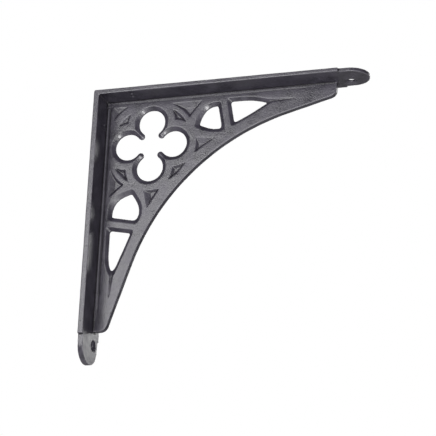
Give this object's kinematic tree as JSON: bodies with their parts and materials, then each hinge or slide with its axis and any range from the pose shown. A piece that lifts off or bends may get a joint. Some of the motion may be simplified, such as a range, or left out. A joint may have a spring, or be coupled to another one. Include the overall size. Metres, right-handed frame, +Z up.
{
  "type": "shelf bracket",
  "caption": "Right-angled cast iron shelf bracket with two flat arms, screw lugs and an arched web pierced with a quatrefoil in the Gothic manner.",
  "frame": {"origin": "middle of the wall arm's back face, halfway between the shelf face and the tip of the lower lug", "axes": "+X out from the wall along the shelf arm, +Y from the carved front towards the plain back, +Z up to the shelf"},
  "size_m": [0.203, 0.03, 0.203],
  "materials": {
    "casting": "satin black paint over cast iron, slightly uneven, with thin lighter edges and small casting marks"
  },
  "bodies": {
    "root": {"bracket": "casting"}
  },
  "joints": []
}
